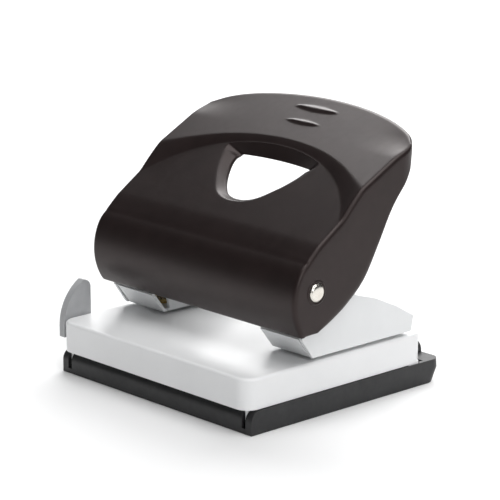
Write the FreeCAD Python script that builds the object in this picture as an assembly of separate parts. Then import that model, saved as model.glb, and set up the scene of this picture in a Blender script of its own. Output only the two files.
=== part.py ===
"""Two-hole paper punch: FreeCAD model, one STEP file per sub-part, in millimetres.

Frame: the origin is on the resting plane, midway between the two punch axes.
X runs along the row of holes, Y to the rear, where the hand presses, and Z up.
"""

import math
import os

import FreeCAD
import Part

V = FreeCAD.Vector
FAR = 80.0  # reach of a cutting shape that must run past everything

# punches and axle
PIN_X = 40.0
PIN_R = 3.0
RUNNING_GAP = 0.05
AXLE_Y = -12.5
AXLE_Z = 46.7
AXLE_R = 2.5
AXLE_HEAD_R = 3.4
AXLE_HEAD_T = 1.4

# base
STEEL = 1.2
BASE_HALF = 51.0
BASE_FRONT = -42.0
BASE_REAR = 46.5
BASE_BOTTOM = 8.8
BASE_CORNER = 5.5
DECK_TOP = 20.2
DECK_UNDER = DECK_TOP - STEEL
SLOT = 1.2
STOP_Y = 12.0
PLATEAU_HALF = 45.5
PLATEAU_REAR = 40.0

# brackets
FLOOR_Z = DECK_TOP + SLOT
FLOOR_TOP = FLOOR_Z + STEEL
BRACKET_OUT = 51.0
BRACKET_IN = 28.9
BRACKET_FRONT = -9.6
BRACKET_REAR = 39.6
EAR_R = 6.0
LIP_OUT = 48.9
BRIDGE_Z = 28.2
BRIDGE_HALF_Y = 6.5
BUSH_R = 4.2
BUSH_FLANGE_R = 6.3
BUSH_FLANGE_T = 1.4
RIVET_R = 1.5
RIVET_HEAD_R = 2.8
RIVET_HEAD_T = 0.9
RIVET_X = (34.0, 41.5)
RIVET_Y = (20.0, 34.0)

# punch pin and what is on it
PIN_TIP_Z = 21.8
PIN_TOP_Z = 45.6
CLIP_Z = 41.6
CLIP_T = 0.8
CLIP_R = 4.6
GROOVE_R = 2.3
WASHER_T = 0.8
WASHER_R = 5.6
SPRING_R = 4.4
SPRING_WIRE_R = 0.45
SPRING_TURNS = 5.0

# handle
HANDLE_HALF = 54.0
WALL = 1.8
FLANGE_T = 1.6
FRONT_BOTTOM = (-17.7, 30.7)
FRONT_BULGE = (-22.5, 42.8)
FACE_START = (-18.9, 56.4)
FACE_SLOPE = 0.66
CROWN_POINT = (38.0, 94.4)
CROWN_SLOPE = 0.5
ARCH = ((-60, 0), (-54, 4), (-40, 12), (-20, 19), (0, 21), (20, 19), (40, 12), (54, 4), (60, 0))
REAR = ((-56, 35.8), (-48, 39.4), (-26, 45.3), (0, 47.6), (26, 45.3), (48, 39.4), (56, 35.8))
FLANGE_EDGE = (
    (36.2, 85.0), (32.0, 79.0), (24.6, 69.9), (17.7, 57.2), (13.2, 49.3),
    (3.9, 40.4), (-4.4, 35.2), (-13.8, 31.6), (-17.7, 30.7),
)
CUTOUT = (
    (0, -0.8), (7, 0.8), (13, 5.5), (18.3, 11.8), (19.6, 16.8), (16.5, 19.8), (0, 20.4),
    (-16.5, 19.8), (-19.6, 16.8), (-18.3, 11.8), (-13, 5.5), (-7, 0.8),
)
CUTOUT_MIDDLE = V(0, 11, 0)
RIM_T = 1.6
RIM_DEPTH = 3.2
REAR_LIP = 4.5
GRIP_RIBS = ((34.2, 9.3, 1.5), (42.2, 12.1, 2.0))
RIB_HEIGHT = 0.7
RIB_ROOT = 0.5

# lever inside the handle
LEVER_T = 1.6
LEVER_HALF = 48.0
LEVER_IN = 31.9
LEVER_OFF = 8.3
NOSE_R = 1.0

# paper guide
GUIDE_Y = -33.0
GUIDE_W = 12.0
GUIDE_T = 2.5
GUIDE_Z = 13.2
GUIDE_END = 48.0
GUIDE_GAP = 0.25
STOP_IN = 51.8
STOP_T = 3.0
CHANNEL_HALF = 46.0

# chip tray
TRAY_HALF = 51.6
TRAY_CORNER = 4.0
TRAY_TOP = 8.6
TRAY_WALL = 1.6
TRAY_FLOOR = 1.8
TRAY_LEDGE_Y = 47.0
LEDGE_T = 1.6
PULL_TOP = 13.0
PULL_HALF = 42.0
PIVOT_Y = -36.5
PIVOT_Z = 4.6
PIVOT_R = 1.2
LUG_R = 2.5
LUG_X = 47.0
TRAY_NOSE_R = 3.9
TAB_Y = 38.5
TAB_W = 5.0
TAB_DROP = 2.2


def slab(x0, x1, y0, y1, z0, z1):
    """Box between two corners."""
    return Part.makeBox(x1 - x0, y1 - y0, z1 - z0, V(x0, y0, z0))


def rod(radius, start, end):
    """Round bar between two points."""
    start = V(*start)
    end = V(*end)
    return Part.makeCylinder(radius, (end - start).Length, start, end - start)


def mirror_x(shape):
    """The same shape on the other side of the middle plane."""
    return shape.mirror(V(0, 0, 0), V(1, 0, 0))


def both_sides(shape):
    return Part.makeCompound([shape, mirror_x(shape)])


def fuse(shapes):
    """One solid from overlapping shapes."""
    return shapes[0].multiFuse(shapes[1:]).removeSplitter()


def prism_yz(points, x0, x1):
    """Prism along X from straight-sided points in the side view."""
    wire = Part.makePolygon([V(x0, y, z) for y, z in points] + [V(x0, *points[0])])
    return Part.Face(wire).extrude(V(x1 - x0, 0, 0))


def band(start, end, thick):
    """Outline of a straight strip of sheet in the side view."""
    length = math.hypot(end[0] - start[0], end[1] - start[1])
    side_y = -(end[1] - start[1]) / length * thick / 2
    side_z = (end[0] - start[0]) / length * thick / 2
    return [
        (start[0] + side_y, start[1] + side_z), (end[0] + side_y, end[1] + side_z),
        (end[0] - side_y, end[1] - side_z), (start[0] - side_y, start[1] - side_z),
    ]


def upright_edges(shape):
    return [e for e in shape.Edges if abs(e.Vertexes[0].Z - e.Vertexes[-1].Z) > 1]


def rounded_slab(x0, x1, y0, y1, z0, z1, radius):
    """Box whose four upright edges are rounded."""
    box = slab(x0, x1, y0, y1, z0, z1)
    return box.makeFillet(radius, upright_edges(box))


def spline(points):
    curve = Part.BSplineCurve()
    curve.interpolate([V(*point) for point in points])
    return curve.toShape()


# ------------------------------------------------------------------ base

def base_plate():
    """Pressed steel base: deck, skirts, raised plateau, die holes and the guide's slot."""
    outer = rounded_slab(-BASE_HALF, BASE_HALF, BASE_FRONT, BASE_REAR, BASE_BOTTOM, DECK_TOP, BASE_CORNER)
    rim = [e for e in outer.Edges if min(v.Z for v in e.Vertexes) > DECK_TOP - 0.01]
    outer = outer.makeFillet(STEEL - 0.1, rim)
    inner = rounded_slab(
        -BASE_HALF + STEEL, BASE_HALF - STEEL, BASE_FRONT + STEEL, BASE_REAR - STEEL,
        BASE_BOTTOM - 1, DECK_UNDER, BASE_CORNER - STEEL,
    )
    plateau = rounded_slab(
        -PLATEAU_HALF, PLATEAU_HALF, STOP_Y, PLATEAU_REAR, DECK_UNDER, FLOOR_Z, 2 * STEEL,
    )
    dish = rounded_slab(
        -PLATEAU_HALF + STEEL, PLATEAU_HALF - STEEL, STOP_Y + STEEL, PLATEAU_REAR - STEEL,
        DECK_UNDER - 1, FLOOR_Z - STEEL, STEEL,
    )
    body = outer.fuse(plateau).cut(inner).cut(dish)
    tab = slab(BASE_HALF - STEEL, BASE_HALF, TAB_Y, TAB_Y + TAB_W, BASE_BOTTOM - TAB_DROP, BASE_BOTTOM + 1)
    additions = []
    for part in (tray_lug(), tab):
        additions += [part, mirror_x(part)]
    body = body.multiFuse(additions)
    tools = [slab(
        -FAR, -BASE_HALF + 2 * STEEL,
        GUIDE_Y - GUIDE_W / 2 - GUIDE_GAP, GUIDE_Y + GUIDE_W / 2 + GUIDE_GAP,
        GUIDE_Z - GUIDE_GAP, GUIDE_Z + GUIDE_T + GUIDE_GAP,
    )]
    for side in (-1, 1):
        tools.append(rod(PIN_R + RUNNING_GAP, (side * PIN_X, 0, 10), (side * PIN_X, 0, 30)))
        for x, y in rivet_places(side):
            tools.append(rod(RIVET_R, (x, y, 10), (x, y, 30)))
    return body.cut(Part.makeCompound(tools)).removeSplitter()


def tray_lug():
    """Lug folded in and down from the right skirt, for the tray's pivot pin."""
    front = PIVOT_Y - LUG_R
    rear = PIVOT_Y + LUG_R
    shelf = slab(LUG_X, BASE_HALF - STEEL / 2, front, rear, BASE_BOTTOM, BASE_BOTTOM + STEEL)
    stem = slab(LUG_X, LUG_X + STEEL, front, rear, PIVOT_Z, BASE_BOTTOM + STEEL)
    eye = rod(LUG_R, (LUG_X, PIVOT_Y, PIVOT_Z), (LUG_X + STEEL, PIVOT_Y, PIVOT_Z))
    hole = rod(PIVOT_R, (LUG_X - 1, PIVOT_Y, PIVOT_Z), (LUG_X + STEEL + 1, PIVOT_Y, PIVOT_Z))
    return fuse([shelf, stem, eye]).cut(hole)


def tray_pivot_pins():
    """Two short pins, fixed in the base's lugs, that the chip tray swings on."""
    tip = TRAY_HALF - 0.7
    return both_sides(rod(PIVOT_R, (LUG_X - 1, PIVOT_Y, PIVOT_Z), (tip, PIVOT_Y, PIVOT_Z)))


def rivet_places(side):
    """Centres of the four rivets of one bracket."""
    return [(side * x, y) for x in RIVET_X for y in RIVET_Y]


def bracket_rivets():
    """Eight flat-headed rivets that hold the brackets on the plateau."""
    rivets = []
    for side in (-1, 1):
        for x, y in rivet_places(side):
            shank = rod(RIVET_R, (x, y, FLOOR_Z - STEEL), (x, y, FLOOR_TOP))
            head = rod(RIVET_HEAD_R, (x, y, FLOOR_TOP), (x, y, FLOOR_TOP + RIVET_HEAD_T))
            top = [e for e in head.Edges if min(v.Z for v in e.Vertexes) > FLOOR_TOP + 0.1]
            head = head.makeFillet(RIVET_HEAD_T / 2, top)
            tail = rod(RIVET_HEAD_R - 0.6, (x, y, FLOOR_Z - 2 * STEEL), (x, y, FLOOR_Z - STEEL))
            rivets.append(fuse([shank, head, tail]))
    return Part.makeCompound(rivets)


def bracket_side(front, x0, x1):
    """Side plate of a bracket: a long low web that rises to an ear round the axle."""
    ear_side = math.cos(math.radians(60)) * EAR_R
    ear_up = math.sin(math.radians(60)) * EAR_R
    outline = front + [
        (BRACKET_REAR - 0.3, FLOOR_Z), (40.4, 27.4), (31.5, 32.6), (20.9, 37.5), (10.7, 40.6),
        (AXLE_Y + ear_side, AXLE_Z + ear_up),
        (AXLE_Y, AXLE_Z), (AXLE_Y - EAR_R, AXLE_Z),
    ]
    plate = prism_yz(outline, x0, x1)
    ear = rod(EAR_R, (x0, AXLE_Y, AXLE_Z), (x1, AXLE_Y, AXLE_Z))
    hole = rod(AXLE_R + RUNNING_GAP, (x0 - 1, AXLE_Y, AXLE_Z), (x1 + 1, AXLE_Y, AXLE_Z))
    return plate.fuse(ear).cut(hole)


def right_bracket():
    """Steel channel over one punch: floor, two side plates and a slanted paper lip."""
    floor = slab(BRACKET_IN, BRACKET_OUT, BRACKET_FRONT + 1.6, BRACKET_REAR, FLOOR_Z, FLOOR_TOP)
    outer = bracket_side(
        [(-17.8, 38.0), (-15.1, 31.0), (-15.9, 29.4), (-10.2, FLOOR_Z)], BRACKET_OUT - STEEL, BRACKET_OUT,
    )
    inner = bracket_side([(-17.4, 42.0), (-7.9, 26.5), (-6.9, FLOOR_Z)], BRACKET_IN, BRACKET_IN + STEEL)
    lip = prism_yz(
        [(BRACKET_FRONT, FLOOR_Z), (-15.6, 29.1), (-14.65, 29.85), (-9.1, FLOOR_TOP), (-7, FLOOR_TOP),
         (-7, FLOOR_Z)],
        BRACKET_IN + 0.6, LIP_OUT,
    )
    body = fuse([floor, outer, inner, lip])
    bends = [
        e for e in body.Edges
        if e.Length > BRACKET_REAR / 2 and abs(e.BoundBox.ZMax - FLOOR_Z) < 0.01 and e.BoundBox.XLength < 0.01
    ]
    body = body.makeFillet(STEEL * 0.8, bends)
    tools = [rod(BUSH_R, (PIN_X, 0, 10), (PIN_X, 0, 30))]
    tools += [rod(RIVET_R, (x, y, 10), (x, y, 30)) for x, y in rivet_places(1)]
    return body.cut(Part.makeCompound(tools)).removeSplitter()


def right_guide_bush():
    """Brass bush in the bracket's floor that keeps the punch pin upright."""
    barrel = rod(BUSH_R, (PIN_X, 0, FLOOR_Z), (PIN_X, 0, FLOOR_TOP))
    flange = rod(BUSH_FLANGE_R, (PIN_X, 0, FLOOR_TOP), (PIN_X, 0, FLOOR_TOP + BUSH_FLANGE_T))
    bore = rod(PIN_R + RUNNING_GAP, (PIN_X, 0, 10), (PIN_X, 0, 30))
    return barrel.fuse(flange).cut(bore).removeSplitter()


def right_guide_bridge():
    """Steel bridge between the side plates: upper guide of the pin and seat of the spring."""
    x0 = BRACKET_IN + STEEL
    x1 = BRACKET_OUT - STEEL
    top = slab(x0, x1, -BRIDGE_HALF_Y, BRIDGE_HALF_Y, BRIDGE_Z - STEEL, BRIDGE_Z)
    legs = [
        slab(x, x + STEEL, -BRIDGE_HALF_Y, BRIDGE_HALF_Y, FLOOR_TOP, BRIDGE_Z)
        for x in (x0, x1 - STEEL)
    ]
    bore = rod(PIN_R + RUNNING_GAP, (PIN_X, 0, 10), (PIN_X, 0, 30))
    return fuse([top] + legs).cut(bore)


def guide_channel():
    """Plastic channel under the deck that the paper guide slides in."""
    wall = 1.4
    half = GUIDE_W / 2 + GUIDE_GAP
    z0 = GUIDE_Z - GUIDE_GAP
    z1 = GUIDE_Z + GUIDE_T + GUIDE_GAP
    block = slab(
        -CHANNEL_HALF, CHANNEL_HALF, GUIDE_Y - half - wall, GUIDE_Y + half + wall, z0 - wall, DECK_UNDER,
    )
    way = slab(-FAR, FAR, GUIDE_Y - half, GUIDE_Y + half, z0, z1)
    above = slab(-FAR, FAR, GUIDE_Y - half, GUIDE_Y + half, z1 + wall, FAR)
    return block.cut(way).cut(above)


# ------------------------------------------------------------------ punches

def right_punch_pin():
    """Hardened pin with a saddle-ground cutting end and a groove for its clip."""
    pin = rod(PIN_R, (PIN_X, 0, PIN_TIP_Z), (PIN_X, 0, PIN_TOP_Z))
    top = [e for e in pin.Edges if min(v.Z for v in e.Vertexes) > PIN_TOP_Z - 0.01]
    pin = pin.makeChamfer(0.4, top)
    saddle_r = 4.0
    saddle = rod(saddle_r, (PIN_X - 5, 0, PIN_TIP_Z - 2.8), (PIN_X + 5, 0, PIN_TIP_Z - 2.8))
    outside = rod(PIN_R + 1, (PIN_X, 0, CLIP_Z), (PIN_X, 0, CLIP_Z + CLIP_T))
    groove = outside.cut(rod(GROOVE_R, (PIN_X, 0, CLIP_Z), (PIN_X, 0, CLIP_Z + CLIP_T)))
    return pin.cut(saddle).cut(groove)


def right_retaining_clip():
    """E-clip in the pin's groove, holding the spring washer."""
    ring = rod(CLIP_R, (PIN_X, 0, CLIP_Z), (PIN_X, 0, CLIP_Z + CLIP_T))
    hole = rod(GROOVE_R, (PIN_X, 0, 0), (PIN_X, 0, FAR))
    mouth = slab(PIN_X - 1.6, PIN_X + 1.6, 0, CLIP_R + 1, 0, FAR)
    return ring.cut(hole).cut(mouth)


def right_spring_washer():
    """Flat washer between the spring and the clip."""
    z0 = CLIP_Z - WASHER_T
    disc = rod(WASHER_R, (PIN_X, 0, z0), (PIN_X, 0, CLIP_Z))
    return disc.cut(rod(PIN_R + RUNNING_GAP, (PIN_X, 0, 0), (PIN_X, 0, FAR)))


def right_spring():
    """Coil spring that lifts the pin and the handle again."""
    low = BRIDGE_Z + SPRING_WIRE_R + 0.05
    high = CLIP_Z - WASHER_T - SPRING_WIRE_R - 0.05
    helix = Part.makeHelix((high - low) / SPRING_TURNS, high - low, SPRING_R)
    circle = Part.Circle(V(SPRING_R, 0, 0), V(0, 1, 0), SPRING_WIRE_R).toShape()
    wire = Part.Wire(helix).makePipeShell([Part.Wire(circle)], True, True)
    wire.translate(V(PIN_X, 0, low))
    return wire


# ------------------------------------------------------------------ handle

def face_height(y, drop=0.0):
    """Height of the lower face's plane at y, lowered square to the plane."""
    lift = (y - FACE_START[0]) * FACE_SLOPE
    return FACE_START[1] + lift - drop * math.hypot(1, FACE_SLOPE)


def crown_height(y, drop=0.0):
    """Height of the grip's plane at y, lowered square to the plane."""
    return CROWN_POINT[1] + (y - CROWN_POINT[0]) * CROWN_SLOPE - drop * math.hypot(1, CROWN_SLOPE)


def front_arc(inset):
    """Front roll of the handle in the side view, from its bottom edge to the face."""
    circle = Part.Circle(V(0, *FRONT_BOTTOM), V(0, *FRONT_BULGE), V(0, *FACE_START))
    centre = circle.Center
    radius = circle.Radius - inset

    def on_roll(z):
        return V(0, centre.y - math.sqrt(radius ** 2 - (centre.z - z) ** 2), z)

    high_z = face_height(FACE_START[0] + inset, inset)
    return on_roll(FRONT_BOTTOM[1] - inset), on_roll(centre.z), on_roll(high_z)


def body_block(inset):
    """Block under the front roll and the lower face, and under the grip once they meet."""
    low, bulge, high = front_arc(inset)
    rise = crown_height(0, inset) - face_height(0, inset)
    meet_y = rise / (FACE_SLOPE - CROWN_SLOPE)
    meet = V(0, meet_y, face_height(meet_y, inset))
    far_top = V(0, FAR, crown_height(FAR, inset))
    far_low = V(0, FAR, low.z)
    edges = [
        Part.Arc(low, bulge, high).toShape(),
        Part.LineSegment(high, meet).toShape(),
        Part.LineSegment(meet, far_top).toShape(),
        Part.LineSegment(far_top, far_low).toShape(),
        Part.LineSegment(far_low, low).toShape(),
    ]
    face = Part.Face(Part.Wire(edges))
    face.translate(V(-FAR, 0, 0))
    return face.extrude(V(2 * FAR, 0, 0))


def crown_block(inset):
    """Block under the raised grip, behind the arched step, which leans back."""
    lean = 0.5
    level = 80.0
    depth = 40.0
    step = [(x, y + 1.2 * inset - lean * depth, level - depth) for x, y in ARCH]
    back_y = FAR + 20
    corners = [V(step[-1][0], back_y, level - depth), V(step[0][0], back_y, level - depth)]
    edges = [
        spline(step),
        Part.LineSegment(V(*step[-1]), corners[0]).toShape(),
        Part.LineSegment(corners[0], corners[1]).toShape(),
        Part.LineSegment(corners[1], V(*step[0])).toShape(),
    ]
    behind_arch = Part.Face(Part.Wire(edges)).extrude(V(0, 2 * depth * lean, 2 * depth))
    under_crown = prism_yz(
        [(0, AXLE_Z), (FAR, AXLE_Z), (FAR, crown_height(FAR, inset)), (0, crown_height(0, inset))],
        -FAR, FAR,
    )
    return under_crown.common(behind_arch)


def rear_plan(inset):
    """Prism of the handle's plan, bounded by its bowed rear edge."""
    rear = [(x, y - inset, 0) for x, y in REAR]
    front = [V(rear[-1][0], -FAR, 0), V(rear[0][0], -FAR, 0)]
    edges = [
        spline(rear),
        Part.LineSegment(V(*rear[-1]), front[0]).toShape(),
        Part.LineSegment(front[0], front[1]).toShape(),
        Part.LineSegment(front[1], V(*rear[0])).toShape(),
    ]
    return Part.Face(Part.Wire(edges)).extrude(V(0, 0, 2 * FAR))


def cutout_prism(grow, z0, z1):
    """Upright prism of the finger cut-out: a rounded triangle, point to the front."""
    curve = Part.BSplineCurve()
    points = []
    for x, y in CUTOUT:
        ray = V(x, y, 0) - CUTOUT_MIDDLE
        points.append(CUTOUT_MIDDLE + ray * (1 + grow / ray.Length) + V(0, 0, z0))
    curve.interpolate(points, PeriodicFlag=True)
    return Part.Face(Part.Wire(curve.toShape())).extrude(V(0, 0, z1 - z0))


def grip_rib(y, half_length, half_width):
    """Pointed-oval rib standing on the grip."""
    radius = (half_length ** 2 + half_width ** 2) / (2 * half_width)
    shift = radius - half_width
    lens = rod(radius, (0, y - shift, 0), (0, y - shift, 2 * FAR)).common(
        rod(radius, (0, y + shift, 0), (0, y + shift, 2 * FAR))
    )
    layer = prism_yz(
        [(0, crown_height(0, RIB_ROOT)), (FAR, crown_height(FAR, RIB_ROOT)),
         (FAR, crown_height(FAR, -RIB_HEIGHT)), (0, crown_height(0, -RIB_HEIGHT))],
        -FAR, FAR,
    )
    return lens.common(layer)


def flange():
    """Flat side panel of the handle, right side."""
    low, bulge, high = front_arc(0.0)
    edge = [V(0, y, z) for y, z in FLANGE_EDGE]
    top = V(0, edge[0].y, crown_height(edge[0].y) + 5)
    front_top = V(0, high.y, top.z)
    curve = Part.BSplineCurve()
    curve.interpolate(edge)
    edges = [
        Part.Arc(low, bulge, high).toShape(),
        Part.LineSegment(high, front_top).toShape(),
        Part.LineSegment(front_top, top).toShape(),
        Part.LineSegment(top, edge[0]).toShape(),
        curve.toShape(),
    ]
    face = Part.Face(Part.Wire(edges))
    face.translate(V(HANDLE_HALF - FLANGE_T, 0, 0))
    return face.extrude(V(FLANGE_T, 0, 0))


def handle_shell():
    """Moulded handle: rolled front, face with a finger cut-out, raised grip, side panels."""
    outside = body_block(0).fuse(crown_block(0)).common(rear_plan(0))
    inside = body_block(WALL).fuse(crown_block(WALL))
    width = slab(-HANDLE_HALF, HANDLE_HALF, -FAR, FAR, 0, 2 * FAR)
    outside = outside.common(width)
    skin = outside.cut(inside)
    rear_lip = outside.cut(rear_plan(WALL)).cut(prism_yz(
        [(0, -FAR), (FAR, -FAR), (FAR, crown_height(FAR) - REAR_LIP), (0, crown_height(0) - REAR_LIP)],
        -FAR, FAR,
    ))
    panel = flange().common(outside)
    rim_zone = prism_yz(
        [(-10, face_height(-10, WALL - 0.2)), (30, face_height(30, WALL - 0.2)),
         (30, face_height(30, WALL + RIM_DEPTH)), (-10, face_height(-10, WALL + RIM_DEPTH))],
        -FAR, FAR,
    )
    rim = cutout_prism(RIM_T, 0, 2 * FAR).common(rim_zone)
    ribs = [grip_rib(*place) for place in GRIP_RIBS]
    body = fuse([skin, rear_lip, panel, mirror_x(panel), rim, *ribs])
    tools = [
        cutout_prism(0, 40, 2 * FAR),
        rod(AXLE_R, (-FAR, AXLE_Y, AXLE_Z), (FAR, AXLE_Y, AXLE_Z)),
    ]
    return body.cut(Part.makeCompound(tools)).removeSplitter()


def along_face(run, height):
    """Point in the side view, run along the face's slope and height square to it, from the axle."""
    scale = math.hypot(1, FACE_SLOPE)
    return (
        AXLE_Y + (run - height * FACE_SLOPE) / scale,
        AXLE_Z + (run * FACE_SLOPE + height) / scale,
    )


def press_lever():
    """Steel pressing on the axle, under the handle's face, whose noses push the pins."""
    knee = along_face(12.2, LEVER_OFF)
    web = prism_yz(band(along_face(1.2, LEVER_OFF), knee, LEVER_T), -LEVER_HALF, LEVER_HALF)
    nose_place = (0.0, AXLE_Z)
    shapes = [web]
    for x0, x1 in ((LEVER_IN, LEVER_HALF), (-LEVER_HALF, -LEVER_IN)):
        shapes.append(prism_yz(band(knee, nose_place, 2 * NOSE_R), x0, x1))
        shapes.append(rod(NOSE_R, (x0, *nose_place), (x1, *nose_place)))
        shapes += [lever_ear(x) for x in (x0, x1 - LEVER_T)]
    body = fuse(shapes)
    return body.cut(rod(AXLE_R, (-FAR, AXLE_Y, AXLE_Z), (FAR, AXLE_Y, AXLE_Z)))


def lever_ear(x0):
    """One of the lever's four ears, which sits on the axle."""
    x1 = x0 + LEVER_T
    ear_r = 5.0
    outline = [
        along_face(1.6, LEVER_OFF), along_face(11.8, LEVER_OFF), (-0.3, AXLE_Z),
        (AXLE_Y + 2.5, AXLE_Z - 4.3), (AXLE_Y, AXLE_Z), (AXLE_Y - 4.8, AXLE_Z),
    ]
    return prism_yz(outline, x0, x1).fuse(rod(ear_r, (x0, AXLE_Y, AXLE_Z), (x1, AXLE_Y, AXLE_Z)))


def axle():
    """Steel axle with a domed head on the right."""
    bar = rod(AXLE_R, (-HANDLE_HALF - 0.7, AXLE_Y, AXLE_Z), (HANDLE_HALF, AXLE_Y, AXLE_Z))
    head = rod(AXLE_HEAD_R, (HANDLE_HALF, AXLE_Y, AXLE_Z), (HANDLE_HALF + AXLE_HEAD_T, AXLE_Y, AXLE_Z))
    outer = [e for e in head.Edges if min(v.X for v in e.Vertexes) > HANDLE_HALF + 0.1]
    return bar.fuse(head.makeFillet(0.7, outer)).removeSplitter()


def axle_cap():
    """Push-on cap on the axle's left end."""
    start = (-HANDLE_HALF, AXLE_Y, AXLE_Z)
    cup = rod(AXLE_HEAD_R, start, (-HANDLE_HALF - AXLE_HEAD_T, AXLE_Y, AXLE_Z))
    outer = [e for e in cup.Edges if max(v.X for v in e.Vertexes) < -HANDLE_HALF - 0.1]
    cup = cup.makeFillet(0.6, outer)
    return cup.cut(rod(AXLE_R, start, (-HANDLE_HALF - 0.7, AXLE_Y, AXLE_Z)))


def axle_washers():
    """Two plain washers between the brackets and the handle's side panels."""
    start = (BRACKET_OUT + 0.1, AXLE_Y, AXLE_Z)
    end = (HANDLE_HALF - FLANGE_T, AXLE_Y, AXLE_Z)
    return both_sides(rod(EAR_R - 0.8, start, end).cut(rod(AXLE_R, start, end)))


# ------------------------------------------------------------------ guide and tray

def paper_guide():
    """Sliding bar with an upright fin, at its left end, that the sheet's edge meets."""
    bar = slab(
        -STOP_IN - STOP_T / 2, GUIDE_END, GUIDE_Y - GUIDE_W / 2, GUIDE_Y + GUIDE_W / 2,
        GUIDE_Z, GUIDE_Z + GUIDE_T,
    )
    low = V(0, -26.5, GUIDE_Z - 0.6)
    rear_top = V(0, -26.5, 29.6)
    tip = V(0, -29.8, 33.2)
    front_low = V(0, -39.3, 15.5)
    corner = V(0, -39.3, GUIDE_Z - 0.6)
    edges = [
        Part.LineSegment(low, rear_top).toShape(),
        Part.Arc(rear_top, V(0, -27.4, 32.2), tip).toShape(),
        Part.Arc(tip, V(0, -36.4, 26.8), front_low).toShape(),
        Part.LineSegment(front_low, corner).toShape(),
        Part.LineSegment(corner, low).toShape(),
    ]
    fin = Part.Face(Part.Wire(edges)).extrude(V(STOP_T, 0, 0))
    fin.translate(V(-STOP_IN - STOP_T, 0, 0))
    return bar.fuse(fin).removeSplitter()


def round_rear_corners(solid, radius):
    """Round the two rear corners of the tray, or of its hollow, as seen from above."""
    upright = [
        e for e in solid.Edges
        if e.BoundBox.YMin > TRAY_LEDGE_Y and e.BoundBox.XLength < 0.01 and e.BoundBox.ZLength > 1
    ]
    return solid.makeFillet(radius, upright)


def chip_tray():
    """Black tray under the base: it catches the chips and swings down on two pivots."""
    floor_front = V(0, PIVOT_Y - TRAY_NOSE_R, 0)
    nose_low = V(0, PIVOT_Y - TRAY_NOSE_R, PIVOT_Z)
    nose_mid = V(0, PIVOT_Y - TRAY_NOSE_R * math.sqrt(0.5), PIVOT_Z + TRAY_NOSE_R * math.sqrt(0.5))
    nose_top = V(0, PIVOT_Y, PIVOT_Z + TRAY_NOSE_R)
    rear = [(-30, TRAY_TOP), (53.2, TRAY_TOP), (54.9, TRAY_TOP), (55.2, 4.8), (52.6, 0)]
    points = [nose_top] + [V(0, y, z) for y, z in rear] + [floor_front, nose_low]
    edges = [Part.LineSegment(a, b).toShape() for a, b in zip(points, points[1:])]
    edges.append(Part.Arc(nose_low, nose_mid, nose_top).toShape())
    face = Part.Face(Part.Wire(edges))
    face.translate(V(-TRAY_HALF, 0, 0))
    block = face.extrude(V(2 * TRAY_HALF, 0, 0))
    block = round_rear_corners(block, TRAY_CORNER)
    inner_half = TRAY_HALF - TRAY_WALL
    nose_wall = 1.2
    inner_front = PIVOT_Y - TRAY_NOSE_R + nose_wall
    hollow = prism_yz(
        [(inner_front, TRAY_FLOOR), (51.6, TRAY_FLOOR), (53.5, 5.0), (53.4, TRAY_TOP - LEDGE_T),
         (PIVOT_Y, TRAY_TOP - LEDGE_T), (inner_front, PIVOT_Z)],
        -inner_half, inner_half,
    )
    hollow = round_rear_corners(hollow, TRAY_CORNER - TRAY_WALL)
    nose_hollow = rod(
        TRAY_NOSE_R - nose_wall, (-inner_half, PIVOT_Y, PIVOT_Z), (inner_half, PIVOT_Y, PIVOT_Z),
    )
    mouth = slab(-inner_half, inner_half, PIVOT_Y, TRAY_LEDGE_Y, PIVOT_Z, FAR)
    boss_r = 2.4
    boss = rod(boss_r, (LUG_X + STEEL + 0.3, PIVOT_Y, PIVOT_Z), (inner_half + 0.5, PIVOT_Y, PIVOT_Z))
    pull = prism_yz(
        [(53.0, TRAY_TOP - 1), (54.8, TRAY_TOP - 1), (54.3, PULL_TOP), (52.9, PULL_TOP)],
        -PULL_HALF, PULL_HALF,
    )
    ends = [e for e in pull.Edges if min(v.Z for v in e.Vertexes) > PULL_TOP - 0.01 and e.Length < 3]
    pull = pull.makeFillet(3.0, ends)
    body = block.cut(hollow).cut(nose_hollow).cut(mouth)
    body = body.multiFuse([boss, mirror_x(boss), pull])
    lug_way = slab(
        LUG_X - 0.4, LUG_X + STEEL + 0.3, PIVOT_Y - FAR, PIVOT_Y + LUG_R + 0.4, TRAY_FLOOR, FAR,
    )
    pin_way = rod(PIVOT_R + RUNNING_GAP, (LUG_X, PIVOT_Y, PIVOT_Z), (TRAY_HALF - 0.5, PIVOT_Y, PIVOT_Z))
    tab_way = slab(
        BASE_HALF - STEEL - 0.3, BASE_HALF + 0.3, TAB_Y - 0.4, TAB_Y + TAB_W + 0.4,
        BASE_BOTTOM - TAB_DROP - 0.4, FAR,
    )
    tools = []
    for tool in (lug_way, pin_way, tab_way):
        tools += [tool, mirror_x(tool)]
    return body.cut(Part.makeCompound(tools)).removeSplitter()


PAIRED = {
    "bracket": right_bracket,
    "guide_bush": right_guide_bush,
    "guide_bridge": right_guide_bridge,
    "punch_pin": right_punch_pin,
    "retaining_clip": right_retaining_clip,
    "spring_washer": right_spring_washer,
    "spring": right_spring,
}
SINGLE = {
    "base_plate": base_plate,
    "bracket_rivets": bracket_rivets,
    "guide_channel": guide_channel,
    "tray_pivot_pins": tray_pivot_pins,
    "handle_shell": handle_shell,
    "press_lever": press_lever,
    "axle": axle,
    "axle_cap": axle_cap,
    "axle_washers": axle_washers,
    "paper_guide": paper_guide,
    "chip_tray": chip_tray,
}


def main():
    os.makedirs("parts", exist_ok=True)
    for name, make in SINGLE.items():
        make().exportStep(f"parts/{name}.step")
    for name, make in PAIRED.items():
        right = make()
        right.exportStep(f"parts/right_{name}.step")
        mirror_x(right).exportStep(f"parts/left_{name}.step")


main()
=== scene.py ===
"""The looks of a two-hole desk punch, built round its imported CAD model."""
import math

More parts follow.
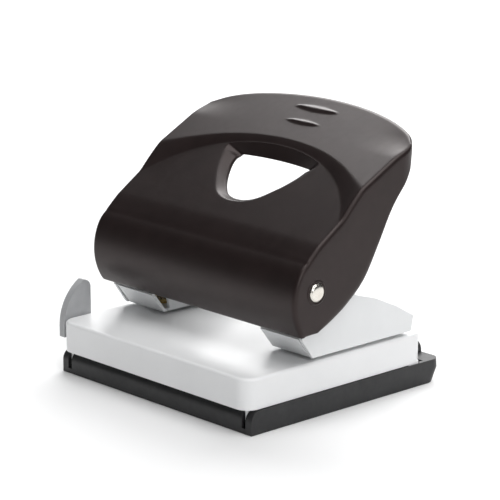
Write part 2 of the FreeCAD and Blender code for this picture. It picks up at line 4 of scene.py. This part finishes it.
import bpy
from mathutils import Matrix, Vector


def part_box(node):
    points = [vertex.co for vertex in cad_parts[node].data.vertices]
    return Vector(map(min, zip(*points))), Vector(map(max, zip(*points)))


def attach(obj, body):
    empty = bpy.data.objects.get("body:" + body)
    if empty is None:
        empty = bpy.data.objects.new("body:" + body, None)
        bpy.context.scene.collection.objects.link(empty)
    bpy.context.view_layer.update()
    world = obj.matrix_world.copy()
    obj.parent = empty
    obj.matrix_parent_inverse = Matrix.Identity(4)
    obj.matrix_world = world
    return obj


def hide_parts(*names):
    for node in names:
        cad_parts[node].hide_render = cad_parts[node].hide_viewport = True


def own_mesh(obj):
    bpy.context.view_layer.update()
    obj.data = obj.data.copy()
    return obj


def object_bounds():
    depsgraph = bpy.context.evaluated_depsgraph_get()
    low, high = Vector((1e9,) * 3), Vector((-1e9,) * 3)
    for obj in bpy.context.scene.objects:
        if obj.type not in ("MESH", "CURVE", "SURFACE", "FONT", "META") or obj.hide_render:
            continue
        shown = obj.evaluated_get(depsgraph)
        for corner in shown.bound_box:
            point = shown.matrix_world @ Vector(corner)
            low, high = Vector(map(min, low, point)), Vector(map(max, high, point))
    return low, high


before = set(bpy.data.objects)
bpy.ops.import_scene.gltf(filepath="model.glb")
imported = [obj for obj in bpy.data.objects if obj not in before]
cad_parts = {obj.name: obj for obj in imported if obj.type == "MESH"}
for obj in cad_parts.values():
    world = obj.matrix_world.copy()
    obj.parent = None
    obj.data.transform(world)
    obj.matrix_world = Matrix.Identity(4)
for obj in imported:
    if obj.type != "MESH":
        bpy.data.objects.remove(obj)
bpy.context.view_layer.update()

MM = 0.001

# Handle shell, in millimetres. X is across, Y to the rear, Z up.
HALF = 54.7  # half its width, to the outside of the side flanges
WALL = 1.6
FOLD = 1.6  # radius where the top turns down into a flange
ROLL_FOOT = (-18.5, 30.6)
ROLL_BULGE = (-23.1, 42.8)
ROLL_TOP = (-18.9, 56.2)
SHOULDER = 2.6  # how far the softened corner above the roll reaches
FACE_SLOPE = 0.66
FACE_BULGE = 1.5  # how much fuller than flat the lower face is at its sides
FACE_CROWN = 0.4  # and how much more in the middle
FACE_SWELL = 9.0  # length over which that fullness comes in
CROWN_POINT = (38.0, 94.5)
CROWN_SLOPE = 0.52
CORNER_DROP = 2.0  # how far the crown falls away at its rear corners
CORNER_DROP_START = 26.0  # the Y where it begins to
CORNER_DROP_LENGTH = 12.0
LIP_R = 1.8  # radius where the grip turns down at the rear
CORNER_START = (46.5, 30.0)  # the rear corners are rounded from this X and Y outward
CORNER_REACH = 9.0  # and along Y over this length
CORNER_INSET = 2.2
LIP_DROP = 3.0  # straight edge below that radius
# Y of three edges as seen from above: the sum of amount * (x / HALF) ** power.
STEP_TOP = ((24.6, 0), (-12.9, 2), (-4.2, 4), (3.0, 8))
STEP_WIDTH = ((2.4, 0), (4.0, 2), (7.0, 8))
REAR_EDGE = ((49.0, 0), (-9.4, 2), (-1.6, 6))
GRIP_RIBS = ((33.4, 9.0, 1.5), (40.8, 11.6, 1.9))  # middle Y, half length, half width
RIB_HEIGHT = 0.6
RIB_CREST = 0.42  # how far back in its width each rib is highest
# Right half of the finger hole's rim as (X, Y), from its top corner down to the middle of its foot.
RIM_OUTER = ((24.2, 17.8), (23.6, 15.2), (20.9, 10.4), (16.2, 4.8), (9.3, -1.3), (0.0, -3.3))
RIM_INNER = ((18.0, 19.5), (17.6, 15.6), (14.9, 10.6), (11.0, 5.9), (6.1, 2.4), (0.0, 1.2))
RIM_TOP_FLAT = 0.25  # strip of the face left between the step and the rim
RIM_TOP_BULGE = 0.8
RIM_SECTION = (  # share of the way from the outer to the inner line, and depth
    (0.05, 0.03), (0.12, 0.16), (0.22, 0.45), (0.37, 0.95), (0.55, 1.55),
    (0.74, 2.15), (0.88, 2.7), (0.96, 3.4), (1.0, 4.3),
)
FLANGE_EDGE = (  # free edge of each side flange as (Y, Z)
    (-11.6, 31.9), (-4.0, 35.2), (3.6, 39.9), (11.4, 46.9),
    (18.0, 57.7), (24.8, 70.0), (31.4, 78.2), (35.4, 83.2),
)

# Axle heads, return springs and bracket rivets.
AXLE = (-12.5, 46.7)  # its middle as (Y, Z)
HEAD_OUT = 55.4  # X of the heads' outer faces
COLLAR_SECTION = (  # radius, and distance out from the flange
    (4.55, -0.3), (4.5, 0.02), (4.38, 0.18), (4.15, 0.28),
    (3.9, 0.28), (3.66, 0.18), (3.55, 0.0), (3.5, -0.3),
)
DOME_SECTION = (  # radius, and distance out from the head
    (2.95, -0.15), (2.95, 0.0), (2.5, 0.16), (1.9, 0.28), (1.2, 0.36), (0.6, 0.39), (0.1, 0.4),
)
TURNED_STEPS = 48
SPRING_R = 4.4
WIRE_R = 0.45
SPRING_TURNS = 6.5  # with one closed turn at each end
END_TURN_RISE = 1.8 * WIRE_R
TURN_STEPS = 36
WIRE_STEPS = 10
RIVET_X = (34.0, 41.5)
RIVET_Y = (20.0, 34.0)
RIVET_DOME = (  # radius, and height above the rivet
    (2.55, 0.0), (2.5, 0.12), (2.25, 0.26), (1.8, 0.38), (1.2, 0.47), (0.6, 0.52), (0.05, 0.53),
)
RIVET_STEPS = 32

# Number of mesh cells along each part of the handle.
COLUMNS = 116
ROLL_CELLS = 16
SHOULDER_CELLS = 5
FACE_CELLS = 30
STEP_CELLS = 12
CROWN_CELLS = 48
LIP_CELLS = 6
DROP_CELLS = 3
FOLD_CELLS = 5
FLANGE_CELLS = 9
RIM_HALF_COLUMNS = 32
RIM_ROWS = 22
RIM_RINGS = 7
RIM_TOP_FADE = 6  # cells past the hole's top corners where the straight drop becomes the rolled rim


def smooth(t):
    """0 to 1 with level ends."""
    t = min(max(t, 0.0), 1.0)
    return t * t * (3 - 2 * t)


def ramp(t, rounding=0.16):
    """0 to 1 along a straight slope whose two ends are rounded over this share of it."""
    low = min(t, 1 - t)
    if low < rounding:
        height = low ** 2 / (2 * rounding * (1 - rounding))
    else:
        height = (low - rounding / 2) / (1 - rounding)
    return height if t < 0.5 else 1 - height


def mix(a, b, t):
    """The point a share t of the way from a to b."""
    return tuple(p + (q - p) * t for p, q in zip(a, b))


def circle_through(a, b, c):
    """Middle and radius of the circle through three points."""
    (ax, ay), (bx, by), (cx, cy) = a, b, c
    d = 2 * (ax * (by - cy) + bx * (cy - ay) + cx * (ay - by))
    sa, sb, sc = ax * ax + ay * ay, bx * bx + by * by, cx * cx + cy * cy
    x = (sa * (by - cy) + sb * (cy - ay) + sc * (ay - by)) / d
    y = (sa * (cx - bx) + sb * (ax - cx) + sc * (bx - ax)) / d
    return (x, y), math.hypot(ax - x, ay - y)


def curve_value(a, b, c, d, t):
    """A smooth curve's value a share t of the way from b to c, with a and d as the neighbours."""
    bend = 2 * a - 5 * b + 4 * c - d
    twist = 3 * b - a - 3 * c + d
    return 0.5 * (2 * b + (c - a) * t + bend * t * t + twist * t ** 3)


def curve_through(points, steps=24):
    """A smooth line through the points, as many short runs."""
    ends = [points[0], *points, points[-1]]
    line = []
    for p, q, r, s in zip(ends, ends[1:], ends[2:], ends[3:]):
        for i in range(steps):
            t = i / steps
            line.append(tuple(curve_value(*values, t) for values in zip(p, q, r, s)))
    line.append(points[-1])
    return line


def spaced(line, count):
    """count + 1 points at equal steps along a line of points."""
    reach = [0.0]
    for a, b in zip(line, line[1:]):
        reach.append(reach[-1] + math.dist(a, b))
    out = []
    k = 0
    for i in range(count + 1):
        want = reach[-1] * i / count
        while k < len(line) - 2 and reach[k + 1] < want:
            k += 1
        span = reach[k + 1] - reach[k]
        out.append(mix(line[k], line[k + 1], (want - reach[k]) / span if span else 0.0))
    return out


# ---------------------------------------------------------------- handle surface

def bowed(terms, x):
    """An edge's Y at x, from its amounts and powers."""
    return sum(amount * (x / HALF) ** power for amount, power in terms)


def step_foot(x):
    """Y of the lower edge of the arched step, which widens to the sides."""
    return bowed(STEP_TOP, x) - bowed(STEP_WIDTH, x)


def face_height(x, y):
    """Z of the lower face."""
    t = x / HALF
    camber = (FACE_BULGE + FACE_CROWN * (1 - t * t)) * smooth((y - ROLL_TOP[0]) / FACE_SWELL)
    return ROLL_TOP[1] + FACE_SLOPE * (y - ROLL_TOP[0]) + camber


def rib_height(x, y):
    """How far the two lens-shaped grip ribs stand up here: steep in front and gentle behind."""
    height = 0.0
    for middle, length, width in GRIP_RIBS:
        room = width * (1 - (x / length) ** 2)
        if room > 0:
            share = (y - middle + room) / (2 * room)
            fall = 1 - smooth((share - RIB_CREST) / (1 - RIB_CREST))
            height += RIB_HEIGHT * smooth(share / RIB_CREST) * fall * smooth(room)
    return height


def crown_height(x, y):
    """Z of the raised grip."""
    grip = CROWN_POINT[1] + CROWN_SLOPE * (y - CROWN_POINT[0])
    corner = (x / HALF) ** 6 * smooth((y - CORNER_DROP_START) / CORNER_DROP_LENGTH)
    return grip - CORNER_DROP * corner + rib_height(x, y)


def roll_points():
    """The rolled front and the softened corner above it, as (Y, Z)."""
    (cy, cz), r = circle_through(ROLL_FOOT, ROLL_BULGE, ROLL_TOP)
    start = math.atan2(ROLL_FOOT[1] - cz, ROLL_FOOT[0] - cy) % (2 * math.pi)
    end = math.atan2(ROLL_TOP[1] - cz, ROLL_TOP[0] - cy) % (2 * math.pi)
    end -= math.copysign(SHOULDER / r, end - start)
    arc = []
    for i in range(ROLL_CELLS + 1):
        a = start + (end - start) * i / ROLL_CELLS
        arc.append((cy + r * math.cos(a), cz + r * math.sin(a)))
    reach = SHOULDER / math.hypot(1, FACE_SLOPE)
    after = (ROLL_TOP[0] + reach, ROLL_TOP[1] + reach * FACE_SLOPE)
    bend = []
    for i in range(1, SHOULDER_CELLS + 1):
        t = i / SHOULDER_CELLS
        bend.append(mix(mix(arc[-1], ROLL_TOP, t), mix(ROLL_TOP, after, t), t))
    return arc + bend


def profile(x, front):
    """The handle's section at x, from the foot of the roll to the end of the rear lip."""
    line = list(front)
    y0 = front[-1][0]
    foot = step_foot(x)
    top = bowed(STEP_TOP, x)
    tilt = math.atan(CROWN_SLOPE)
    last = bowed(REAR_EDGE, x) - LIP_R * (1 + math.sin(tilt))
    for i in range(1, FACE_CELLS + 1):
        y = y0 + (foot - y0) * i / FACE_CELLS
        line.append((y, face_height(x, y)))
    for i in range(1, STEP_CELLS + 1):
        y = foot + (top - foot) * i / STEP_CELLS
        share = ramp(i / STEP_CELLS)
        line.append((y, face_height(x, y) * (1 - share) + crown_height(x, y) * share))
    for i in range(1, CROWN_CELLS + 1):
        y = top + (last - top) * i / CROWN_CELLS
        line.append((y, crown_height(x, y)))
    cy = last + LIP_R * math.sin(tilt)
    cz = crown_height(x, last) - LIP_R * math.cos(tilt)
    for i in range(1, LIP_CELLS + 1):
        a = (math.pi / 2 + tilt) * (1 - i / LIP_CELLS)
        line.append((cy + LIP_R * math.cos(a), cz + LIP_R * math.sin(a)))
    for i in range(1, DROP_CELLS + 1):
        line.append((cy + LIP_R, cz - LIP_DROP * i / DROP_CELLS))
    return line


def outward(line, i):
    """The section's outward direction at point i, as (Y, Z)."""
    a = line[max(i - 1, 0)]
    b = line[min(i + 1, len(line) - 1)]
    run = math.dist(a, b)
    return (-(b[1] - a[1]) / run, (b[0] - a[0]) / run)


def round_rear_corner(point):
    """Draws the rear corners in diagonally, so that they are round from above."""
    x, y, z = point
    across = max(0.0, (abs(x) - CORNER_START[0]) / (HALF - CORNER_START[0]))
    along = max(0.0, (y - CORNER_START[1]) / CORNER_REACH)
    inset = CORNER_INSET * across ** 2 * min(along, 1.0) ** 2
    return (x - math.copysign(inset, x), y - inset, z)


def side_points(section, side):
    """Rows of the fold and the flange on one side, each from the top surface to the flange's free edge."""
    edge = spaced(curve_through(FLANGE_EDGE), len(section) - 1)
    rows = []
    for i, (y, z) in enumerate(section):
        ny, nz = outward(section, i)
        cy = y - ny * FOLD
        cz = z - nz * FOLD
        row = []
        for k in range(1, FOLD_CELLS + 1):
            a = math.pi / 2 * k / FOLD_CELLS
            across = HALF - FOLD + FOLD * math.sin(a)
            row.append((side * across, cy + ny * FOLD * math.cos(a), cz + nz * FOLD * math.cos(a)))
        for k in range(1, FLANGE_CELLS + 1):
            fy, fz = mix((cy, cz), edge[i], k / FLANGE_CELLS)
            row.append((side * HALF, fy, fz))
        rows.append(row)
    return rows


def rim_line(outline, half_width, top_y, top_count, side_count):
    """A closed line of the finger hole: along its top, then down round its foot and up again."""
    top = []
    for i in range(top_count):
        x = -half_width + 2 * half_width * i / top_count
        top.append((x, top_y(x)))
    left = [(-x, y) for x, y in reversed(outline[:-1])]
    return top + spaced(curve_through([*outline, *left]), side_count)[:-1]


def handle_rim(points, faces, ring):
    """The lower face round the finger hole and the rim that turns down into it."""
    top_count = 2 * RIM_HALF_COLUMNS
    side_count = len(ring) - top_count
    half = RIM_OUTER[0][0]
    outer = rim_line(RIM_OUTER, half, lambda x: step_foot(x) - RIM_TOP_FLAT, top_count, side_count)
    inner_half, inner_top = RIM_INNER[0]
    inner = rim_line(
        RIM_INNER, inner_half,
        lambda x: inner_top + RIM_TOP_BULGE * (1 - (x / inner_half) ** 2),
        top_count, side_count,
    )
    full_depth = RIM_SECTION[-1][1]
    border = [points[i] for i in ring]
    before = ring
    for k in range(1, RIM_RINGS + 1):
        now = []
        for start, end in zip(border, outer):
            x, y = mix(start[:2], end, k / RIM_RINGS)
            now.append(len(points))
            points.append((x, y, face_height(x, y)))
        join_rings(faces, before, now)
        before = now
    for share, depth in RIM_SECTION:
        now = []
        for i, (start, end) in enumerate(zip(outer, inner)):
            x, y = mix(start, end, share)
            past_top = max(0, min(i - top_count, len(outer) - i))
            straight = share * full_depth
            drop = straight + (depth - straight) * smooth(past_top / RIM_TOP_FADE)
            now.append(len(points))
            points.append((x, y, face_height(x, y) - drop))
        join_rings(faces, before, now)
        before = now


def join_rings(faces, outer, inner):
    """Faces between two closed rings of equal length."""
    for i in range(len(outer)):
        j = (i + 1) % len(outer)
        faces.append((outer[j], outer[i], inner[i], inner[j]))


def handle_mesh():
    """The handle's outer surface as points in millimetres and faces."""
    front = roll_points()
    xs = [-(HALF - FOLD) + 2 * (HALF - FOLD) * i / COLUMNS for i in range(COLUMNS + 1)]
    sections = [profile(x, front) for x in xs]
    left = side_points(sections[0], -1)
    right = side_points(sections[-1], 1)
    rows = []
    points = []
    for r in range(len(sections[0])):
        row = list(reversed(left[r]))
        row += [(x, *section[r]) for x, section in zip(xs, sections)]
        row += right[r]
        rows.append(range(len(points), len(points) + len(row)))
        points += row
    middle = FOLD_CELLS + FLANGE_CELLS + COLUMNS // 2
    c0 = middle - RIM_HALF_COLUMNS
    c1 = middle + RIM_HALF_COLUMNS
    r1 = ROLL_CELLS + SHOULDER_CELLS + FACE_CELLS
    r0 = r1 - RIM_ROWS
    faces = []
    for r in range(len(rows) - 1):
        for c in range(len(rows[0]) - 1):
            if r0 <= r < r1 and c0 <= c < c1:
                continue
            faces.append((rows[r][c], rows[r][c + 1], rows[r + 1][c + 1], rows[r + 1][c]))
    ring = [rows[r1][c] for c in range(c0, c1)]
    ring += [rows[r][c1] for r in range(r1, r0, -1)]
    ring += [rows[r0][c] for c in range(c1, c0, -1)]
    ring += [rows[r][c0] for r in range(r0, r1)]
    handle_rim(points, faces, ring)
    return [round_rear_corner(p) for p in points], faces


def new_piece(name, points, faces, body, material):
    """A smooth mesh piece from points in millimetres, riding on a body."""
    mesh = bpy.data.meshes.new(name)
    mesh.from_pydata([tuple(v * MM for v in p) for p in points], [], faces)
    mesh.validate()
    mesh.shade_smooth()
    piece = bpy.data.objects.new(name, mesh)
    bpy.context.scene.collection.objects.link(piece)
    piece.data.materials.append(material)
    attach(piece, body)
    return piece


def make_handle(material):
    """The moulded handle, with its wall thickness and rounded free edges."""
    points, faces = handle_mesh()
    piece = new_piece("handle_moulding", points, faces, "handle", material)
    if piece.data.polygons[len(piece.data.polygons) // 2].normal.z < 0:
        piece.data.flip_normals()
    wall = piece.modifiers.new("wall", "SOLIDIFY")
    wall.thickness = WALL * MM
    wall.offset = -1
    wall.use_quality_normals = True
    soft = piece.modifiers.new("soft", "SUBSURF")
    soft.levels = 1
    soft.render_levels = 1
    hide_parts("handle_shell")


def ring_faces(first, rings, steps, closed):
    """Faces between rings of points that follow each other from index first, with the last one filled in."""
    faces = []
    for k in range(rings - 1):
        a = first + k * steps
        for i in range(steps):
            j = (i + 1) % steps
            faces.append((a + i, a + j, a + steps + j, a + steps + i))
    if closed:
        last = first + (rings - 1) * steps
        faces.append(tuple(range(last, last + steps)))
    return faces


def turned(name, section, place, side, closed, material):
    """A piece of the handle turned about an axis along X: section is (radius, distance out)."""
    middle_x, middle_y, middle_z = place
    points = []
    for radius, out in section:
        for i in range(TURNED_STEPS):
            a = 2 * math.pi * i / TURNED_STEPS
            y = middle_y + radius * math.cos(a)
            z = middle_z + radius * math.sin(a) * side
            points.append((side * (middle_x + out), y, z))
    faces = ring_faces(0, len(section), TURNED_STEPS, closed)
    new_piece(name, points, faces, "handle", material)


def spring_height(turn, foot, head):
    """Height of the wire's middle after this many turns."""
    if turn < 1:
        return foot + END_TURN_RISE * turn ** 2
    if turn > SPRING_TURNS - 1:
        return head - END_TURN_RISE * (SPRING_TURNS - turn) ** 2
    share = (turn - 1) / (SPRING_TURNS - 2)
    return foot + END_TURN_RISE + (head - foot - 2 * END_TURN_RISE) * share


def make_spring(side, material):
    """A return spring in place of the CAD one, riding on its punch's body."""
    node = side + "_spring"
    low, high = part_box(node)
    mid_x = (low.x + high.x) / 2 / MM
    mid_y = (low.y + high.y) / 2 / MM
    foot = low.z / MM + WIRE_R
    head = high.z / MM - WIRE_R
    count = int(SPRING_TURNS * TURN_STEPS)
    points = []
    for i in range(count + 1):
        turn = i / TURN_STEPS
        a = 2 * math.pi * turn
        z = spring_height(turn, foot, head)
        for k in range(WIRE_STEPS):
            b = 2 * math.pi * k / WIRE_STEPS
            r = SPRING_R + WIRE_R * math.cos(b)
            points.append((mid_x + r * math.cos(a), mid_y + r * math.sin(a), z + WIRE_R * math.sin(b)))
    faces = [tuple(reversed(face)) for face in ring_faces(0, count + 1, WIRE_STEPS, True)]
    faces.append(tuple(range(WIRE_STEPS)))
    piece = new_piece(side + "_return_spring", points, faces, side + "_punch", material)
    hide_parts(node)
    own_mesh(piece)


def make_rivet_domes(material):
    """The domed tops of the eight rivets that hold the brackets."""
    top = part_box("bracket_rivets")[1].z / MM
    points = []
    faces = []
    for x in (-RIVET_X[1], -RIVET_X[0], *RIVET_X):
        for y in RIVET_Y:
            faces += ring_faces(len(points), len(RIVET_DOME), RIVET_STEPS, True)
            for radius, height in RIVET_DOME:
                for i in range(RIVET_STEPS):
                    a = 2 * math.pi * i / RIVET_STEPS
                    points.append((x + radius * math.cos(a), y + radius * math.sin(a), top + height))
    new_piece("rivet_domes", points, faces, "base", material)


def make_axle_trim(materials):
    """The raised collar in the plastic round each axle head, and the head's domed middle."""
    plastic = materials["handle_plastic"]
    metal = materials["nickel_steel"]
    for name, side in (("left", -1), ("right", 1)):
        collar_place = (HALF, *AXLE)
        dome_place = (HEAD_OUT, *AXLE)
        turned(name + "_axle_collar", COLLAR_SECTION, collar_place, side, False, plastic)
        turned(name + "_axle_dome", DOME_SECTION, dome_place, side, True, metal)


# ---------------------------------------------------------------- materials

class Nodes:
    """A material's node tree, with short calls for the nodes used here."""

    def __init__(self, name, **values):
        self.material = bpy.data.materials.new(name)
        self.material.use_nodes = True
        self.tree = self.material.node_tree
        self.tree.nodes.clear()
        self.shader = self.tree.nodes.new("ShaderNodeBsdfPrincipled")
        output = self.tree.nodes.new("ShaderNodeOutputMaterial")
        self.link(self.shader.outputs[0], output.inputs[0])
        self.place = self.tree.nodes.new("ShaderNodeTexCoord").outputs["Object"]
        for socket, value in values.items():
            self.shader.inputs[socket.replace("_", " ")].default_value = value

    def link(self, start, end):
        """Joins an output socket to an input socket."""
        self.tree.links.new(start, end)

    def noise(self, size_mm, detail=3.0, stretch=(1, 1, 1)):
        """Noise whose blobs are about size_mm across, drawn out by stretch."""
        mapping = self.tree.nodes.new("ShaderNodeMapping")
        mapping.inputs["Scale"].default_value = [1 / s for s in stretch]
        node = self.tree.nodes.new("ShaderNodeTexNoise")
        node.inputs["Scale"].default_value = 1 / (size_mm * MM)
        node.inputs["Detail"].default_value = detail
        node.inputs["Roughness"].default_value = 0.55
        self.link(self.place, mapping.inputs["Vector"])
        self.link(mapping.outputs[0], node.inputs["Vector"])
        return node.outputs["Fac"]

    def between(self, factor, low, high):
        """A value from low to high as the noise goes from dark to light."""
        node = self.tree.nodes.new("ShaderNodeMapRange")
        node.inputs["From Min"].default_value = 0.3
        node.inputs["From Max"].default_value = 0.7
        node.inputs["To Min"].default_value = low
        node.inputs["To Max"].default_value = high
        self.link(factor, node.inputs["Value"])
        return node.outputs[0]

    def blend(self, factor, dark, light):
        """A colour between two colours."""
        node = self.tree.nodes.new("ShaderNodeValToRGB")
        node.color_ramp.elements[0].position = 0.32
        node.color_ramp.elements[1].position = 0.68
        node.color_ramp.elements[0].color = (*dark, 1)
        node.color_ramp.elements[1].color = (*light, 1)
        self.link(factor, node.inputs[0])
        return node.outputs[0]

    def finish(self, colour, roughness, height, depth_mm, strength=1.0):
        """Joins colour, roughness and bump to the shader."""
        bump = self.tree.nodes.new("ShaderNodeBump")
        bump.inputs["Distance"].default_value = depth_mm * MM
        bump.inputs["Strength"].default_value = strength
        self.link(height, bump.inputs["Height"])
        self.link(bump.outputs[0], self.shader.inputs["Normal"])
        self.link(colour, self.shader.inputs["Base Color"])
        self.link(roughness, self.shader.inputs["Roughness"])
        return self.material


def moulded_handle():
    """Warm near-black plastic with a fine satin grain."""
    n = Nodes("handle_plastic", IOR=1.5, Specular_IOR_Level=0.4, Specular_Tint=(1.0, 0.87, 0.85, 1))
    colour = n.blend(n.noise(9.0), (0.0110, 0.0066, 0.0064), (0.0145, 0.0088, 0.0084))
    grain = n.noise(0.28, detail=2.0)
    return n.finish(colour, n.between(n.noise(3.0), 0.36, 0.42), grain, 0.006, 0.5)


def moulded_black():
    """Black plastic of the chip tray and the guide's channel, with a coarser grain."""
    n = Nodes("black_plastic", IOR=1.5, Specular_IOR_Level=0.45)
    colour = n.blend(n.noise(6.0), (0.014, 0.014, 0.015), (0.022, 0.022, 0.023))
    return n.finish(colour, n.between(n.noise(2.0), 0.42, 0.52), n.noise(0.35, detail=2.0), 0.010, 0.6)


def moulded_grey():
    """Mid grey plastic of the paper guide."""
    n = Nodes("grey_plastic", IOR=1.5, Specular_IOR_Level=0.5)
    colour = n.blend(n.noise(5.0), (0.36, 0.365, 0.375), (0.41, 0.415, 0.425))
    return n.finish(colour, n.between(n.noise(2.0), 0.36, 0.46), n.noise(0.3, detail=2.0), 0.008, 0.5)


def slippery_nylon():
    """Milky washers."""
    n = Nodes("nylon", IOR=1.53, Subsurface_Weight=0.15, Subsurface_Scale=0.001)
    colour = n.blend(n.noise(1.5), (0.62, 0.60, 0.55), (0.72, 0.70, 0.66))
    return n.finish(colour, n.between(n.noise(1.0), 0.38, 0.5), n.noise(0.2), 0.004, 0.4)


def painted(name, dark, light, low, high):
    """Powder coat with its faint orange peel."""
    n = Nodes(name, IOR=1.5, Specular_IOR_Level=0.5, Coat_Weight=0.15, Coat_Roughness=0.2)
    colour = n.blend(n.noise(14.0, detail=4.0), dark, light)
    return n.finish(colour, n.between(n.noise(2.5), low, high), n.noise(0.9, detail=2.0), 0.012, 0.5)


def plated(name, dark, light, low, high, size_mm, stretch, depth_mm):
    """Metal with a drawn or tumbled surface."""
    n = Nodes(name, Metallic=1.0)
    colour = n.blend(n.noise(size_mm * 6), dark, light)
    lines = n.noise(size_mm, detail=4.0, stretch=stretch)
    return n.finish(colour, n.between(n.noise(size_mm * 3), low, high), lines, depth_mm, 0.5)


def all_materials():
    """One finished material for each slot of the record."""
    return {
        "white_steel": painted("white_steel", (0.83, 0.835, 0.84), (0.85, 0.855, 0.86), 0.34, 0.40),
        "bracket_steel": painted("bracket_steel", (0.77, 0.78, 0.785), (0.80, 0.81, 0.815), 0.36, 0.42),
        "handle_plastic": moulded_handle(),
        "black_plastic": moulded_black(),
        "grey_plastic": moulded_grey(),
        "nylon": slippery_nylon(),
        "zinc_steel": plated(
            "zinc_steel", (0.55, 0.56, 0.58), (0.66, 0.67, 0.68), 0.30, 0.42, 1.2, (1, 1, 1), 0.006),
        "nickel_steel": plated(
            "nickel_steel", (0.70, 0.66, 0.60), (0.80, 0.77, 0.71), 0.16, 0.24, 0.5, (1, 6, 1), 0.003),
        "hard_steel": plated(
            "hard_steel", (0.42, 0.42, 0.43), (0.54, 0.54, 0.55), 0.18, 0.28, 0.4, (1, 1, 12), 0.003),
        "spring_steel": plated(
            "spring_steel", (0.50, 0.49, 0.47), (0.62, 0.61, 0.59), 0.22, 0.32, 0.3, (1, 1, 1), 0.003),
        "brass": plated(
            "brass", (0.66, 0.46, 0.17), (0.78, 0.57, 0.24), 0.20, 0.30, 0.4, (6, 6, 1), 0.004),
    }


# Rounding of the CAD pieces' edges, in millimetres, by material slot.
EDGE_R = {
    "white_steel": 0.3,
    "bracket_steel": 0.25,
    "black_plastic": 0.35,
    "grey_plastic": 0.5,
    "zinc_steel": 0.2,
    "nickel_steel": 0.35,
    "brass": 0.2,
}
SHARP_ANGLE = 35  # degrees between two faces, from which their edge is rounded


def dress_cad_nodes(materials):
    """Gives each CAD piece its material and rounds its sharp edges."""
    for name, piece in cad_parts.items():
        slot = piece.data.materials[0].name
        piece.data.materials.clear()
        piece.data.materials.append(materials[slot])
        radius = EDGE_R.get(slot)
        if radius:
            edge = piece.modifiers.new("edge", "BEVEL")
            edge.width = radius * MM
            edge.segments = 2
            edge.limit_method = "ANGLE"
            edge.angle_limit = math.radians(SHARP_ANGLE)
            edge.harden_normals = True


# ---------------------------------------------------------------- stage

CAMERA_PLACE = (0.640108, -0.587957, 0.276703)
CAMERA_AZIMUTH = 47.10
CAMERA_ELEVATION = 14.662
CAMERA_LENS = 177.35
FLOOR_HALF = 8.0
FLOOR_GAP = 0.0001
WORLD_STRENGTH = 0.10
# Each soft box's place, the point it is aimed at and its width and depth, all in metres, then its watts.
SOFT_BOXES = {
    "back_box": ((-0.7, 1.1, 1.0), (-0.3, 0.3, 0.0), (1.6, 1.0), 31.0),
    "top_box": ((0.35, 0.0, 1.5), (0.0, 0.0, 0.05), (1.2, 1.2), 17.0),
    "right_box": ((1.4, -0.5, 0.7), (0.0, 0.0, 0.05), (0.8, 0.8), 7.5),
}


def back_direction(azimuth, elevation):
    """From the object towards the camera."""
    a = math.radians(azimuth)
    e = math.radians(elevation)
    return Vector((math.sin(a) * math.cos(e), -math.cos(a) * math.cos(e), math.sin(e)))


def make_camera():
    """The camera at the photograph's angle."""
    data = bpy.data.cameras.new("camera")
    data.lens = CAMERA_LENS
    data.sensor_width = 36.0
    data.clip_start = 0.01
    data.clip_end = 50.0
    camera = bpy.data.objects.new("camera", data)
    camera.location = CAMERA_PLACE
    camera.rotation_mode = "QUATERNION"
    back = back_direction(CAMERA_AZIMUTH, CAMERA_ELEVATION)
    camera.rotation_quaternion = (-back).to_track_quat("-Z", "Y")
    bpy.context.scene.collection.objects.link(camera)
    bpy.context.scene.camera = camera


def soft_light(name, place, target, size, watts):
    """A soft box aimed at a point."""
    data = bpy.data.lights.new(name, "AREA")
    data.shape = "RECTANGLE"
    data.size, data.size_y = size
    data.energy = watts
    light = bpy.data.objects.new(name, data)
    light.location = place
    light.rotation_mode = "QUATERNION"
    light.rotation_quaternion = (Vector(target) - Vector(place)).to_track_quat("-Z", "Y")
    bpy.context.scene.collection.objects.link(light)


def make_floor():
    """A plain pale floor."""
    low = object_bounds()[0]
    n = Nodes("floor_paint", IOR=1.4, Specular_IOR_Level=0.2)
    colour = n.blend(n.noise(300.0), (0.86, 0.86, 0.86), (0.88, 0.88, 0.88))
    material = n.finish(colour, n.between(n.noise(80.0), 0.68, 0.74), n.noise(2.0), 0.01, 0.1)
    mesh = bpy.data.meshes.new("floor")
    h = FLOOR_HALF
    mesh.from_pydata([(-h, -h, 0), (h, -h, 0), (h, h, 0), (-h, h, 0)], [], [(0, 1, 2, 3)])
    floor = bpy.data.objects.new("floor", mesh)
    floor.location.z = min(low.z, 0.0) - FLOOR_GAP
    floor.data.materials.append(material)
    bpy.context.scene.collection.objects.link(floor)


def make_world():
    """An even, dim surround."""
    world = bpy.data.worlds.new("world")
    world.use_nodes = True
    background = world.node_tree.nodes["Background"]
    background.inputs["Color"].default_value = (0.95, 0.97, 1.0, 1)
    background.inputs["Strength"].default_value = WORLD_STRENGTH
    bpy.context.scene.world = world


def make_lights():
    """Soft boxes behind and above, and a weaker one from the right."""
    for name, values in SOFT_BOXES.items():
        soft_light(name, *values)


materials = all_materials()
make_camera()
dress_cad_nodes(materials)
make_handle(materials["handle_plastic"])
make_axle_trim(materials)
make_rivet_domes(materials["zinc_steel"])
make_spring("left", materials["spring_steel"])
make_spring("right", materials["spring_steel"])
bpy.context.scene.view_settings.view_transform = "Standard"
make_floor()
make_world()
make_lights()
